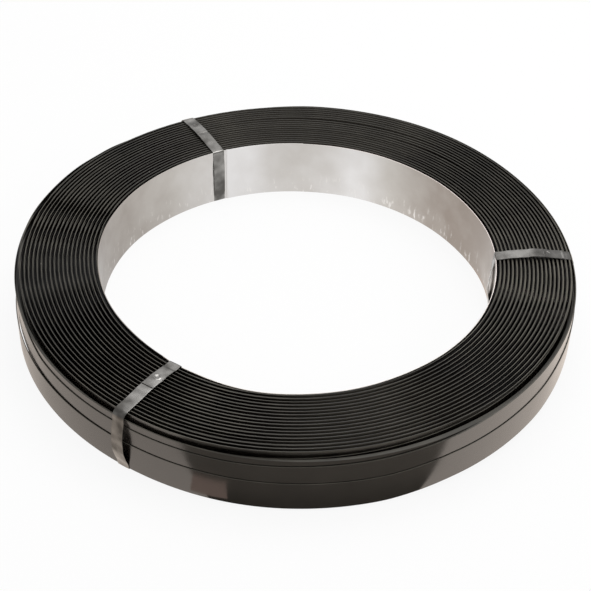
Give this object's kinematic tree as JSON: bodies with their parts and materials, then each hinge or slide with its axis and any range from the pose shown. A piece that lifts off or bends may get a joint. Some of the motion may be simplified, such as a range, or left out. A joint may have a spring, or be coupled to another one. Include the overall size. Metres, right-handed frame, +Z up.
{
  "type": "steel strapping coil",
  "caption": "Mill-wound coil of black painted steel strapping lying flat, with a bright sheet liner in its bore and welded steel binder ties around its section.",
  "frame": {"origin": "on the coil's axis, on the floor that the coil lies on", "axes": "+Z up along the bore's axis, out of the end face with the ties' welded laps; -Y turned 15 degrees towards +X faces the picture's camera"},
  "size_m": [0.567, 0.567, 0.0697],
  "materials": {
    "strap": "semi-gloss black paint baked on cold-rolled strip",
    "liner": "bright bare sheet with light stains near its lower edge",
    "tie": "bare rolled steel strip, slightly dulled"
  },
  "bodies": {
    "root": {"strap_coil": "strap", "core_liner": "liner", "binder_tie_right": "tie", "binder_tie_back": "tie", "binder_tie_front": "tie"}
  },
  "joints": []
}
